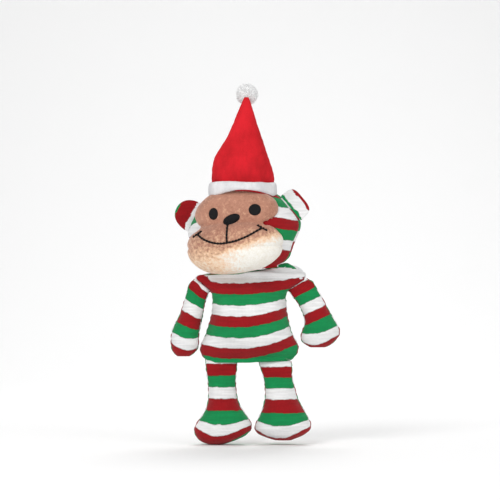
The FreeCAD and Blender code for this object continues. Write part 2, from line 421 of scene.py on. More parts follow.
def joined_nodes(*names):
    """The points and faces of some CAD nodes together."""
    vertices, faces = [], []
    for name in names:
        mesh = frame["nodes"][name].data
        loops = [polygon.vertices for polygon in mesh.polygons]
        add_part(vertices, faces, [v.co.copy() for v in mesh.vertices], loops)
    return vertices, faces


def surface_of(*names):
    """The joint surface of some CAD nodes, for rays."""
    return BVHTree.FromPolygons(*joined_nodes(*names))


def smooth_rows(values, passes):
    """Evens a column of numbers or vectors, keeping its two ends."""
    values = np.array(values, float)
    for _ in range(passes):
        values[1:-1] = (values[:-2] + 2 * values[1:-1] + values[2:]) / 4
    return values


def measure(nodes, start, end, across_start, across_end, count, passes):
    """Sections of a CAD pillow: middle, across direction, half width and half depth of each.

    The sections lie along start to end.  Their across direction turns from one end's to the
    other's, and each is measured by rays from outside."""
    tree = surface_of(*nodes)
    depth = (end - start).cross(across_end).normalized()
    if depth.dot(FRONT) < 0:
        depth = -depth
    rows = []
    for i in range(count):
        share = i / (count - 1)
        across = across_start.lerp(across_end, min(1.0, share * 2.2)).normalized()
        middle = start.lerp(end, share)
        high = tree.ray_cast(middle + across * REACH, -across)[0]
        low = tree.ray_cast(middle - across * REACH, across)[0]
        if high is None or low is None:
            continue
        middle = (high + low) / 2
        near = tree.ray_cast(middle + depth * REACH, -depth)[0]
        far = tree.ray_cast(middle - depth * REACH, depth)[0]
        if near is None or far is None:
            continue
        middle += (near + far - 2 * middle) / 2
        rows.append((middle[:], across[:], (high - low).length / 2, (near - far).length / 2))
    middles, acrosses, widths, depths = zip(*rows)
    return {
        "middle": smooth_rows(middles, passes),
        "across": smooth_rows(acrosses, 1),
        "width": smooth_rows(widths, passes),
        "depth": smooth_rows(depths, passes),
        "front": depth,
    }


def grow_root(sections, tuck, least_depth, fade):
    """Thickens the sewn end over fade rows and runs it on by tuck, into the piece it is sewn to."""
    middle = sections["middle"]
    step = middle[0] - middle[1]
    step /= np.linalg.norm(step)
    count = min(fade, len(middle) - 1)
    for i in range(count):
        share = 1 - i / count
        sections["depth"][i] = max(sections["depth"][i], least_depth * share ** 0.5)
    for key in ("across", "width", "depth"):
        sections[key] = np.concatenate([sections[key][:1], sections[key]])
    sections["middle"] = np.concatenate([middle[:1] + step * tuck, middle])


SEAM_GROOVE = 1.3  # mm from a seam within which the skin dips
PUCKER_REACH = 6.0  # mm from a seam within which it puckers
PUCKER_LENGTH = 5.2  # mm of seam from one pucker to the next


def stuffed(name, sections, stripe, seam, groove, lumps, puckers, seed, slot="knit"):
    """A closed sewn skin over the sections, with its two side seams.

    stripe(point, back) gives the stripe number of a point.  seam holds how far each side seam is
    turned to the front, in radians.  groove, lumps and puckers are heights in mm."""
    middle, across = sections["middle"], sections["across"]
    width, depth = sections["width"], sections["depth"]
    front = np.array(sections["front"])
    rows = len(middle)
    half = SPOKES // 2
    angles = np.concatenate([
        np.linspace(-seam[0], math.pi + seam[1], half + 1)[:-1],
        np.linspace(math.pi + seam[1], 2 * math.pi - seam[0], half + 1)[:-1],
    ])
    along = np.concatenate([[0], np.cumsum(np.linalg.norm(np.diff(middle, axis=0), axis=1))]) / MM

    points = np.zeros((rows, SPOKES, 3))
    for i in range(rows):
        for j, angle in enumerate(angles):
            c, s = math.cos(angle), math.sin(angle)
            flat = across[i] * c * width[i] - front * s * depth[i]
            outward = across[i] * c / max(width[i], 1e-4) - front * s / max(depth[i], 1e-4)
            outward /= np.linalg.norm(outward)
            seam_gap = min(j, SPOKES - j, abs(j - half)) / half
            size = min(width[i], depth[i]) / MM
            reach = seam_gap * math.pi * max(width[i], depth[i]) / MM
            dip = bell(reach / SEAM_GROOVE) * groove * min(1.0, size / 4)
            pull = bell(reach / PUCKER_REACH) * (1 - bell(reach / 1.5))
            pucker = puckers * pull * math.sin(along[i] * 2 * math.pi / PUCKER_LENGTH + seed * 5 + j)
            place = Vector(middle[i] + flat) / MM
            lump = noise.noise(place / 17 + Vector((seed, 0, 0))) * lumps
            lump += noise.noise(place / 7 + Vector((0, seed, 0))) * lumps * 0.4
            lump *= min(1.0, size / 5)
            points[i, j] = middle[i] + flat + outward * (lump + pucker - dip) * MM

    vertices = [tuple(p) for p in points.reshape(-1, 3)]
    faces = tube_faces(rows, SPOKES)
    corners = []
    gaps = np.linalg.norm(np.roll(points, -1, axis=1) - points, axis=2) / MM
    rounds = np.zeros((rows, SPOKES + 1))
    rounds[:, 1:] = np.cumsum(gaps, axis=1)

    def corner(i, j, back):
        point = Vector(points[i, j % SPOKES])
        panel_start = rounds[i, 0 if back else half]
        panel_end = rounds[i, half if back else SPOKES]
        position = rounds[i, j] - (panel_start + panel_end) / 2
        return (position, along[i], stripe(point, back))

    for i in range(rows - 1):
        for j in range(SPOKES):
            back = j < half
            corners += [corner(i, j, back), corner(i, j + 1, back),
                        corner(i + 1, j + 1, back), corner(i + 1, j, back)]
    for row in (0, rows - 1):
        pole = len(vertices)
        vertices.append(tuple(points[row].mean(axis=0)))
        for j in range(SPOKES):
            back = j < half
            nxt = (j + 1) % SPOKES
            faces.append((pole, row * SPOKES + nxt, row * SPOKES + j))
            middle_value = stripe(Vector(vertices[pole]), back)
            corners += [(0, along[row], middle_value), corner(row, j + 1, back), corner(row, j, back)]

    mesh = new_mesh(name, vertices, faces)
    set_stitches(mesh, corners, "CORNER")
    turn_outwards(mesh)
    piece = smooth_piece(mesh, slot)
    return piece


def inflate(piece, held_rows):
    """Lets the filling press on a sewn skin: cloth under pressure, which stops after CLOTH_FRAMES.

    The held rows stay where they are, and no other point moves further than SWELL_CAP."""
    mesh = piece.data
    rest = np.array([vertex.co[:] for vertex in mesh.vertices])
    held = piece.vertex_groups.new(name="held")
    held.add([row * SPOKES + spoke for row in held_rows for spoke in range(SPOKES)], 1.0, "REPLACE")
    cloth = piece.modifiers.new("pressure", "CLOTH")
    settings = cloth.settings
    settings.quality = 5
    settings.mass = 0.3
    settings.tension_stiffness = 15
    settings.compression_stiffness = 15
    settings.bending_stiffness = 0.3
    settings.use_pressure = True
    settings.uniform_pressure_force = 4
    settings.vertex_group_mass = held.name
    settings.effector_weights.gravity = 0
    cloth.point_cache.frame_end = CLOTH_FRAMES
    for number in range(1, CLOTH_FRAMES + 1):
        bpy.context.scene.frame_set(number)
    pressed = piece.evaluated_get(bpy.context.evaluated_depsgraph_get()).data
    moved = np.array([vertex.co[:] for vertex in pressed.vertices]) - rest
    piece.modifiers.remove(cloth)
    piece.vertex_groups.remove(held)
    bpy.context.scene.frame_set(1)
    distance = np.maximum(np.linalg.norm(moved, axis=1, keepdims=True), 1e-9)
    kept = SWELL_CAP * np.tanh(distance / SWELL_CAP) / distance
    mesh.vertices.foreach_set("co", (rest + moved * kept).ravel())
    mesh.update()


# ---- the toy's own directions

def joint_place(name):
    return Vector(JOINTS[name]["pos_m"])


def joint_axis(name):
    return Vector(JOINTS[name]["axis"]).normalized()


EAR_HEIGHT = 14.7  # mm from the head's middle up to the ears' seams
HEAD_SIDE = (joint_place("ear_left_fold") - joint_place("ear_right_fold")).normalized()
HEAD_UP = (joint_axis("ear_left_fold") + joint_axis("ear_right_fold")).normalized()
HEAD_FRONT = HEAD_UP.cross(HEAD_SIDE) * -1
HEAD_MIDDLE = (joint_place("ear_left_fold") + joint_place("ear_right_fold")) / 2 - HEAD_UP * EAR_HEIGHT * MM


def in_head(point):
    """A point in the head's own frame, in mm: to its left, forwards and up."""
    offset = (Vector(point) - HEAD_MIDDLE) / MM
    return Vector((offset.dot(HEAD_SIDE), offset.dot(HEAD_FRONT), offset.dot(HEAD_UP)))


def from_head(side, forward, up):
    return HEAD_MIDDLE + (HEAD_SIDE * side + HEAD_FRONT * forward + HEAD_UP * up) * MM


# ---- tunic, arms and legs

TUNIC_LOW, TUNIC_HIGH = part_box("tunic_front")
MIDLINE_X = (TUNIC_LOW.x + TUNIC_HIGH.x) / 2
SEAM_Y = TUNIC_HIGH.y
STRIPE = 8.45  # mm of height of one stripe on the tunic
NECK_Z = 135.5  # mm; the first stripe starts here, and above it there is only the higher shoulder
SHOULDER_RISE = 7.9  # mm from there to the higher shoulder's top
SHOULDER_X = 23.0  # where that top is
SHOULDER_END_X = 40.5  # where the shoulder's slope ends, at the arm
COLLAR_LOW = 133.9  # mm; the tunic's edge is red or green above this
COLLAR_TOP = 140.0  # and above this at the higher shoulder
COLLAR_RED_X = -14.0  # its colour changes from red to green here
HEM_NUMBER = 8.95  # the hem stays in the last green stripe
HEM_RISE = 1.0  # the hem sits this much higher over the toy's left leg
HEM_DEPTH = 7.4  # from the seam to the front of the hem, which covers the legs' roots
NECK_PUFF = 7.0  # least depth of the tunic above and below the neck's height
SHOULDER_PUFF = 9.0


def tunic_stripe(point, back):
    """Stripes that climb towards the toy's left, and a green edge on the higher shoulder."""
    x = point.x / MM - MIDLINE_X / MM
    z = point.z / MM
    steep = min(7.6, 3.0 + 0.19 * max(0.0, 127 - z))
    climb = steep * (max(0.0, x + 10) / 38) ** 2 + 1.5 * (max(0.0, -x - 16) / 15) ** 2
    if back:
        climb = 2.0 + x * 0.04
    number = (NECK_Z - z + climb) / STRIPE
    if z > NECK_Z - 4:
        collar = max(COLLAR_LOW, COLLAR_TOP - 0.16 * abs(point.x / MM - SHOULDER_X))
        if z > collar and not back:
            number = -0.5 if point.x / MM > COLLAR_RED_X else -1.5
        else:
            number = max(number, 0.1)
    at_right_arm = x < (133.5 - z) * 0.48 - 34 and z > 120
    if at_right_arm and not back:
        number = max(number, 1.1)
    return min(number, HEM_NUMBER) + FIRST_WHITE


def make_tunic():
    start = Vector((MIDLINE_X, SEAM_Y, TUNIC_LOW.z + 0.3 * MM))
    end = Vector((MIDLINE_X, SEAM_Y, TUNIC_HIGH.z - 0.1 * MM))
    sections = measure(["tunic_front", "tunic_back"], start, end, SIDEWAYS, SIDEWAYS, 100, 2)
    width, depth = sections["width"], sections["depth"]
    for i, middle in enumerate(sections["middle"]):
        z = middle[2] / MM
        if z > NECK_Z:
            left = min(middle[0] - width[i], (z - NECK_Z) * 3.0 * MM)
            right = min(middle[0] + width[i], (SHOULDER_END_X - (z - NECK_Z) * 2.0) * MM)
            right = max(right, left + 1.5 * MM)
            middle[0] = (left + right) / 2
            width[i] = (right - left) / 2
        top = clamp((z - NECK_Z + 8) / 8)
        dome = math.sqrt(max(0.02, 1 - (max(0.0, z - NECK_Z) / SHOULDER_RISE) ** 2))
        puff = NECK_PUFF if z > NECK_Z else SHOULDER_PUFF
        least = max(puff * top ** 0.5 * dome, HEM_DEPTH if i < 10 else 0.0)
        depth[i] = max(depth[i], least * MM)
    piece = stuffed("tunic_skin", sections, tunic_stripe, (0.10, 0.10), 0.6, 0.7, 0.3, 1.0)
    for vertex in piece.data.vertices:
        low = clamp(1 - (vertex.co.z / MM - 64.6) / 15.4)
        aside = clamp((vertex.co.x - MIDLINE_X) / MM / 10 + 0.1)
        vertex.co.z += HEM_RISE * low * aside ** 2 * (3 - 2 * aside) * MM
    inflate(piece, (0, 1))
    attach(piece, "torso")
    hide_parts("tunic_front", "tunic_back")


ARM_SLOPE = 0.38  # how steeply the arms' stripes climb outwards
SHOULDER_SLOPE = 0.3  # and how much more at the right shoulder
# Heights in mm of the stripes' edges at the middle of each limb, the lower edge of the white
# stripe at the root first
STRIPE_EDGES = {
    "arm_left": (126.6, 120.2, 113.5, 106.4, 99.0, 88.8, 79.0),
    "arm_right": (124.5, 118.4, 110.7, 102.3, 93.3, 84.5, 75.0),
    "leg_left": (61.4, 52.9, 44.6, 35.9, 25.3, 15.4, 5.5),
    "leg_right": (64.0, 54.4, 45.5, 36.7, 27.3, 16.4, 7.5),
}
# How far each limb's root is tucked into the tunic and its least depth there, in mm
ROOTS = {
    "arm_left": (2.2, 3.6),
    "arm_right": (2.2, 3.6),
    "leg_left": (3.4, 4.0),
    "leg_right": (5.5, 4.4),
}
BACK_SHIFT = 1.35  # stripes by which a limb's back panel is out of step with its front


def edge_number(edges, level):
    """The stripe number at a level: the first red stripe starts at the first edge."""
    first_red = FIRST_WHITE + 1
    if level > edges[0]:
        return first_red - (level - edges[0]) / STRIPE
    if level < edges[-1]:
        return FIRST_WHITE + len(edges) + (edges[-1] - level) / STRIPE
    numbers = range(first_red, first_red + len(edges))
    return float(np.interp(-level, [-edge for edge in edges], numbers))


def make_limb(name):
    """One arm or leg: a sewn skin that runs from the torso's seam."""
    joint = name + "_swing"
    low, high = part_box(name + "_front")
    axis = joint_axis(joint)
    if axis.x < 0:
        axis = -axis
    root = joint_place(joint)
    is_arm = name.startswith("arm")
    panels = [name + "_front", name + "_back"]
    tree = surface_of(*panels)
    tip = tree.find_nearest(Vector(((low.x + high.x) / 2, SEAM_Y, low.z - 0.05)))[0]
    tip.y = SEAM_Y
    down = axis.cross(Vector((0, 1, 0)))
    if down.z > 0:
        down = -down
    start = root + down * 0.5 * MM
    end = tip + Vector((0, 0, 0.3 * MM))
    sections = measure(panels, start, end, axis, SIDEWAYS, 80, 3)
    tuck, least_depth = ROOTS[name]
    grow_root(sections, tuck * MM, least_depth * MM, 14)
    seam = (0.22, 0.16) if is_arm else (0.16, 0.16)
    edges = STRIPE_EDGES[name]
    middle_x = sections["middle"][:, 0] / MM
    middle_drop = -sections["middle"][:, 2] / MM
    outer = 1 if name.endswith("left") else -1

    def stripe(point, back):
        z = point.z / MM
        if back:
            return edge_number(edges, z) + BACK_SHIFT
        x = point.x / MM - float(np.interp(-z, middle_drop, middle_x))
        if is_arm:
            steeper = SHOULDER_SLOPE * clamp((z - 98) / 30) if outer < 0 else 0.0
            hand = clamp((94 - z) / 12)
            level = z - outer * x * (ARM_SLOPE + steeper - 0.18 * hand) - 0.03 * hand * x * x
        else:
            foot = clamp((26 - z) / 16)
            level = z - foot * (9 * (x / 20) ** 2 + 0.1 * x)
        return edge_number(edges, level)

    piece = stuffed(name + "_skin", sections, stripe, seam, 0.55, 0.55, 0.25, root.x * 40)
    inflate(piece, range(10))
    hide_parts(*panels)
    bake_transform(piece)


# ---- head

HOOD_STRIPE = 8.6  # mm of height of one stripe on the hood
HOOD_STRIPES_TOP = 26.9  # mm above the head's middle, where a white stripe starts
HOOD_LOWEST = 4.9  # at its lower left the hood ends in a red stripe


def hood_stripe(point, back):
    side, forward, up = in_head(point)
    if back:
        number = (HOOD_STRIPES_TOP - up - 0.12 * side) / HOOD_STRIPE
        return number + FIRST_WHITE + 3
    slope = 0.32 * abs(side) + 0.02 * forward
    number = (HOOD_STRIPES_TOP - up - slope) / HOOD_STRIPE
    number -= 0.6 * clamp(-side / 20)
    if number < 0:
        number *= 1.4
    if side > 0:
        number = min(number, HOOD_LOWEST)
    return number + FIRST_WHITE + 3


def make_hood():
    heights = [in_head(v.co).z for v in frame["nodes"]["hood_front"].data.vertices]
    start = from_head(0, 0, min(heights) + 0.2)
    end = from_head(0, 0, max(heights) - 0.3)
    sections = measure(["hood_front", "hood_back"], start, end, HEAD_SIDE, HEAD_SIDE, 90, 3)
    grow_root(sections, 1.6 * MM, 7.0 * MM, 8)
    piece = stuffed("hood_skin", sections, hood_stripe, (0.12, 0.12), 0.6, 0.6, 0.25, 3.0)
    inflate(piece, (0, 1, len(sections["depth"]) - 1))
    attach(piece, "head")
    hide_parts("hood_front", "hood_back")


CHIN_SEAM = -12.0  # height of the seam under the mouth, in the head's frame
SEAM_TILT = 0.06  # how far it drops towards the toy's left, per mm
SMILE_X = -5.0  # middle of the mouth, and half its width
SMILE_HALF = 26.0
EYE_X = 16.6
EYE_Z = 15.6
# The padded ovals: the node each stands for, its place, half size, tilt in degrees and height
OVALS = {
    "eye_left_satin": ("eye_left", EYE_X, EYE_Z, 4.9, 4.7, 8, 0.9),
    "eye_right_satin": ("eye_right", -EYE_X, EYE_Z, 4.2, 4.9, -8, 0.9),
    "nose_satin": ("nose", -2.2, 10.0, 7.4, 3.8, 17, 1.5),
}


def face_block():
    """The brow and muzzle as one closed, evenly meshed and softened form."""
    nodes = joined_nodes("face_plush", "chin_plush", "face_stuffing")
    block = link_object("face_block", new_mesh("face_block", *nodes))
    remesh = block.modifiers.new("even", "REMESH")
    remesh.mode = "VOXEL"
    remesh.voxel_size = 0.9 * MM
    soften = block.modifiers.new("soften", "SMOOTH")
    soften.factor = 0.5
    soften.iterations = 14
    bpy.context.view_layer.update()
    shaped = block.evaluated_get(bpy.context.evaluated_depsgraph_get())
    result = bpy.data.meshes.new_from_object(shaped)
    bpy.data.objects.remove(block)
    return result


def shape_face(mesh):
    """Puffs the plush out, pulls it in at the seam and the embroidery, and lets the jowls sag."""
    normals = [v.normal.copy() for v in mesh.vertices]
    for vertex, normal in zip(mesh.vertices, normals):
        side, forward, up = in_head(vertex.co)
        seam_height = CHIN_SEAM - SEAM_TILT * side
        seam_dip = bell((up - seam_height) / 1.5) * 1.1
        dimple = bell((side - SMILE_X) / 4.5, (up - 1) / 6) * 0.8
        corners = 0.0
        for end in (SMILE_X - SMILE_HALF, SMILE_X + SMILE_HALF):
            corners += bell((side - end) / 3.5, (up - 1) / 3.5) * 0.9
        eye_dip = 0.0
        for eye in (-EYE_X, EYE_X):
            eye_dip += bell((side - eye) / 6, (up - EYE_Z) / 6) * 0.5
        place = Vector(vertex.co) / MM
        lump = noise.noise(place / 13) * 0.7 + noise.noise(place / 5) * 0.22
        pile = noise.noise(place / 1.1) * 0.10
        vertex.co += normal * (lump + pile + 0.5 - seam_dip - dimple - corners - eye_dip) * MM
        jowl = clamp((forward - 12) / 8) * clamp((-16 - up) / 10)
        vertex.co.z -= 1.6 * jowl * MM


def split_at_chin(mesh, keep_above):
    """The closed part of the face above or below the chin seam."""
    bm = bmesh.new()
    bm.from_mesh(mesh)
    bmesh.ops.bisect_plane(
        bm, geom=bm.verts[:] + bm.edges[:] + bm.faces[:],
        plane_co=from_head(0, 0, CHIN_SEAM), plane_no=HEAD_UP + HEAD_SIDE * SEAM_TILT,
        clear_inner=keep_above, clear_outer=not keep_above)
    edges = [e for e in bm.edges if e.is_boundary]
    bmesh.ops.holes_fill(bm, edges=edges, sides=0)
    half = bpy.data.meshes.new("half")
    bm.to_mesh(half)
    bm.free()
    return half


def face_piece(name, mesh, node):
    """One part of the face, with its fade from tan (0) to cream (1): a painted highlight towards the toy's
    left, lower down and on the chin, and straw flecks on the muzzle.
    """
    mesh.name = name
    fade = mesh.attributes.new("fade", "FLOAT", "POINT")
    values = []
    for vertex in mesh.vertices:
        side, forward, up = in_head(vertex.co)
        # Painted highlight: lighter towards the toy's left and lower down, and on the chin; the muzzle's
        # floor only gives straw flecks.
        turning = float(np.interp(up, (-17, -11, -5, 4), (-16, 10, 33, 60)))
        chin = clamp((CHIN_SEAM + 3 - up) / 12)
        muzzle = clamp((4 - up) / 6)
        values.append(max(0.5 + (side - turning) / 42, 0.17 * muzzle + 0.36 * chin))
    fade.data.foreach_set("value", np.array(values, np.float32))
    piece = smooth_piece(mesh, node)
    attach(piece, "head")
    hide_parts(node)


def make_face():
    block = face_block()
    shape_face(block)
    face_piece("face_skin", split_at_chin(block, True), "face_plush")
    face_piece("chin_skin", split_at_chin(block, False), "chin_plush")
    vertices = [v.co.copy() for v in block.vertices]
    return BVHTree.FromPolygons(vertices, [list(p.vertices) for p in block.polygons])


def on_face(tree, side, up, lift):
    """The point of the face in front of the head's side and up, lifted off the plush, and its normal."""
    place, normal, _, _ = tree.ray_cast(from_head(side, 120, up), -HEAD_FRONT)
    if place is None:
        place, normal, _, _ = tree.find_nearest(from_head(side, 20, up))
    return place + normal * lift * MM, normal


def embroider_oval(tree, name, node, side, up, half_width, half_height, tilt, height):
    """A padded satin-stitched oval laid on the plush."""
    rings, spokes = 14, 64
    c, s = math.cos(math.radians(tilt)), math.sin(math.radians(tilt))
    vertices, stitches = [], []
    for i in range(rings + 1):
        share = i / rings
        for j in range(spokes):
            turn = 2 * math.pi * j / spokes
            ragged = 1 + 0.02 * math.sin(turn * 23) * share
            x = half_width * share * math.cos(turn) * ragged
            y = half_height * share * math.sin(turn) * ragged
            lift = height * math.sqrt(max(0.0, 1 - share ** 4)) - 0.35 * share ** 6
            vertices.append(on_face(tree, side + x * c - y * s, up + x * s + y * c, lift)[0])
            stitches.append((x, y, 0))
    piece = new_piece(name, vertices, tube_faces(rings + 1, spokes), "thread", "head", [node])
    set_stitches(piece.data, stitches)
    turn_outwards(piece.data)


def stitch_capsule(start, end, normal, radius):
    """One stitch: a slim bead that dips into the cloth at both ends."""
    rings, spokes = 9, 8
    side = (end - start).cross(normal).normalized()
    points = []
    for i in range(rings):
        share = i / (rings - 1)
        swell = max(0.12, max(0.0, math.sin(math.pi * share)) ** 0.4)
        middle = start.lerp(end, share) + normal * radius * (1.1 * math.sin(math.pi * share) - 0.5)
        points += ring(middle, side, normal, radius * swell, spokes)
    return points, tube_faces(rings, spokes) + end_caps(rings, spokes)


def sew(tree, route, stitch, radius):
    """Back-stitches along a route of (side, up) points on the face."""
    vertices, faces = [], []
    lengths = [0.0]
    for a, b in zip(route, route[1:]):
        lengths.append(lengths[-1] + math.dist(a, b))
    count = max(1, round(lengths[-1] / stitch))
    places = []
    for k in range(count + 1):
        distance = lengths[-1] * k / count
        places.append([float(np.interp(distance, lengths, way)) for way in zip(*route)])
    for a, b in zip(places, places[1:]):
        over = ((b[0] - a[0]) * 0.12, (b[1] - a[1]) * 0.12)
        start, normal_a = on_face(tree, a[0] - over[0], a[1] - over[1], 0.15)
        end, normal_b = on_face(tree, b[0] + over[0], b[1] + over[1], 0.15)
        normal = (normal_a + normal_b).normalized()
        add_part(vertices, faces, *stitch_capsule(start, end, normal, radius * MM))
    return vertices, faces


STITCH_LENGTH = 2.4  # mm
STITCH_RADIUS = 0.88
TICK_HALF = 4.6  # mm; half the length of the tick across each end of the smile


def make_mouth(tree):
    """The smile with a tick across each end, and the line up to the nose."""
    lowest_x, lowest_z = SMILE_X - 3, -8.2
    ends = (SMILE_X - SMILE_HALF, SMILE_X + SMILE_HALF)
    smile = []
    for k in range(25):
        x = ends[0] + (ends[1] - ends[0]) * k / 24
        reach = ends[0] - lowest_x if x < lowest_x else ends[1] - lowest_x
        smile.append((x, lowest_z + 9 * ((x - lowest_x) / reach) ** 2))
    routes = [smile, [(SMILE_X, lowest_z), (SMILE_X - 0.3, -1), (SMILE_X - 0.2, 7.0)]]
    for end, tilt in zip(ends, (27, -34)):
        x, y = TICK_HALF * math.cos(math.radians(tilt)), TICK_HALF * math.sin(math.radians(tilt))
        routes.append([(end - x, 0.8 - y), (end + x, 0.8 + y)])
    vertices, faces = [], []
    for route in routes:
        add_part(vertices, faces, *sew(tree, route, STITCH_LENGTH, STITCH_RADIUS))
    piece = new_piece("mouth_stitches", vertices, faces, "thread", "head", ["mouth_stitching"])
    set_stitches(piece.data, [(v.x / MM, v.z / MM, 0) for v in vertices])
    turn_outwards(piece.data)


# ---- ears

EAR_HALF = 12.9  # mm; half the length of an ear's seam
EAR_THICK = 1.5
BACK_EAR_STRIPE = 7.0  # mm of width of a stripe on its back layer
# How far each ear stands out in mm, how square it is, and its stripes outwards from the seam:
# the distance in mm where each one ends, and its number
EARS = {
    "ear_left": (12.6, 4.0, [(1.9, 29.5), (10.4, 30.5), (99, 31.5)]),
    "ear_right": (16.6, 2.3, [(3.6, 30.5), (15.0, 31.5), (99, 32.5)]),
}


def make_ear(name, sign):
    """A two-layer flap, cupped towards the front, its straight side sewn to the head."""
    joint = name + "_fold"
    base = joint_place(joint)
    along = joint_axis(joint)
    outward = HEAD_FRONT.cross(along)
    if outward.dot(HEAD_SIDE) * sign < 0:
        outward = -outward
    depth, power, stripes = EARS[name]
    rings, spokes = 16, 48
    vertices, stitches, faces = [], [], []
    for layer in (1, -1):
        for i in range(rings + 1):
            share = i / rings
            for j in range(spokes + 1):
                turn = math.pi * j / spokes
                c, s = math.cos(turn), math.sin(turn)
                square = (abs(c) ** power + abs(s) ** power) ** (-1 / power)
                x = EAR_HALF * share * c * square * 0.97
                y = depth * share * s * square
                rim = math.sqrt(max(0.0, 1 - share ** 5))
                across, out = x / EAR_HALF, y / EAR_HALF
                cup = 3.2 * (1 - across ** 2) * out * (1 - 0.55 * out)
                fold = 1.8 * out ** 2
                swell = EAR_THICK * rim * (0.55 + 0.45 * min(1.0, y / 3))
                ripple = noise.noise(Vector((x, y, sign * 3.0)) / 5) * 0.5
                forward = fold - cup + layer * swell + ripple
                vertices.append(base + (along * x + outward * (y - 0.6) + HEAD_FRONT * forward) * MM)
                tone = y + 1.2 * noise.noise(Vector((x, y, 7)) / 6)
                number = next(n for limit, n in stripes if tone <= limit)
                if layer < 0:
                    number = y / BACK_EAR_STRIPE + FIRST_WHITE
                stitches.append((x, y, number))
    per_layer = (rings + 1) * (spokes + 1)
    for layer in range(2):
        for i in range(rings):
            for j in range(spokes):
                a = layer * per_layer + i * (spokes + 1) + j
                faces.append((a, a + 1, a + spokes + 2, a + spokes + 1))
    piece = new_piece(name + "_skin", vertices, faces, "knit")
    set_stitches(piece.data, stitches)
    turn_outwards(piece.data)
    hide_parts(name + "_front", name + "_back")
    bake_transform(piece)


# ---- hat

def make_hat_cone():
    """The tall velour cone, whose lower edge is tucked into the band."""
    low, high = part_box("hat_front")
    joint = joint_place("hat_flop")
    start = Vector((joint.x, high.y, low.z + 0.2 * MM))
    end = Vector((joint.x + 2.8 * MM, high.y, high.z - 0.2 * MM))
    sections = measure(["hat_front", "hat_back"], start, end, SIDEWAYS, SIDEWAYS, 90, 3)
    depth = sections["depth"]
    widest = max(depth)
    for i, value in enumerate(depth):
        if value >= widest * 0.98:
            break
        depth[i] = max(value, widest * (1.12 - 0.12 * min(1.0, i / 30)))
    grow_root(sections, CONE_TUCK, 0, 2)
    piece = stuffed("hat_cone", sections, lambda point, back: 0.0, (0.0, 0.0), 0.35, 0.9, 0.12, 5.0,
                    "red_velour")
    inflate(piece, range(12))
    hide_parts("hat_front", "hat_back")
    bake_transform(piece)


CONE_TUCK = 4.0 * MM  # how far the cone runs on below its seam, inside the band
BAND_THICK = 2.6  # mm; half the thickness of the band's roll
PIPING_RADIUS = 0.8  # mm
BAND_ARCH = 5.6  # mm by which the band's lower edge rises over the forehead
BAND_TILT = -0.8  # mm by which its top falls towards each side of the forehead


BAND_LOW, BAND_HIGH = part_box("hat_band")
BAND_MIDDLE = (BAND_LOW + BAND_HIGH) / 2
BAND_TREE = surface_of("hat_band")


def band_bottom(turn):
    """The height in mm of the band's lower edge, which arches over the forehead."""
    return BAND_LOW.z / MM + BAND_ARCH * max(0.0, -math.sin(turn)) ** 2


def on_band(turn, height):
    """A point on the CAD band's outside, height mm above its lower edge, and the way out there."""
    outward = Vector((math.cos(turn), math.sin(turn), 0))
    level = Vector((BAND_MIDDLE.x, BAND_MIDDLE.y, BAND_LOW.z + height * MM))
    return BAND_TREE.ray_cast(level + outward * REACH, -outward)[0], outward


def make_hood_piping():
    """The hood's folded edge, a thin red line between the band and the forehead."""
    steps, spokes = 60, 10
    vertices = []
    for k in range(steps):
        share = k / (steps - 1)
        turn = math.radians(-104 + 92 * share)
        hit, outward = on_band(turn, 7)
        centre = hit - outward * 1.1 * MM
        centre.z = (band_bottom(turn) - 0.2) * MM
        size = PIPING_RADIUS * math.sin(math.pi * (0.06 + 0.88 * share)) ** 0.4
        vertices += ring(centre, outward, Vector((0, 0, 1)), size * MM, spokes)
    faces = tube_faces(steps, spokes) + end_caps(steps, spokes)
    piece = new_piece("hood_piping", vertices, faces, "knit", "head")
    red = FIRST_WHITE + 1.5
    set_stitches(piece.data, [(i % spokes, i / spokes * 0.8, red) for i in range(len(vertices))])
    turn_outwards(piece.data)


def make_hat_band():
    """A soft fleece roll round the crown, a little uneven, with its join at the back."""
    rows, turns = 22, 120
    vertices = []
    for j in range(turns):
        turn = 2 * math.pi * j / turns
        hit, outward = on_band(turn, 6)
        wave = noise.noise(Vector((math.cos(turn), math.sin(turn), 0.3)) * 2.2)
        ripple = noise.noise(Vector((math.cos(turn), math.sin(turn), 0.9)) * 6.0)
        join = bell((turn - math.pi / 2) / 0.05)
        ahead = max(0.0, -math.sin(turn))
        bottom = band_bottom(turn) + 0.3 * wave
        top = BAND_HIGH.z / MM + 0.6 + 0.4 * wave + BAND_TILT * math.cos(turn) * ahead
        half_height = (top - bottom) / 2
        half_thick = BAND_THICK + 0.25 * ripple - 0.8 * join
        centre = hit - outward * (half_thick - 0.1) * MM
        centre.z = (top + bottom) / 2 * MM
        for i in range(rows):
            angle = 2 * math.pi * i / rows
            c, s = math.cos(angle), math.sin(angle)
            c = math.copysign(abs(c) ** 0.8, c)
            s = math.copysign(abs(s) ** 0.7, s)
            soft = 0.18 * noise.noise(Vector((turn * 6, angle * 1.5, 2)))
            vertices.append(centre + outward * (c * (half_thick + soft)) * MM
                            + Vector((0, 0, s * (half_height + soft))) * MM)
    faces = tube_faces(turns, rows, closed=True)
    piece = new_piece("hat_band_roll", vertices, faces, "white_velour", "head", ["hat_band"])
    turn_outwards(piece.data)


KNOT_RADIUS = 1.5 * MM  # of the knot that holds the pom-pom to the hat's tip
STRANDS = 1500
STRAND_SPOKES = 5


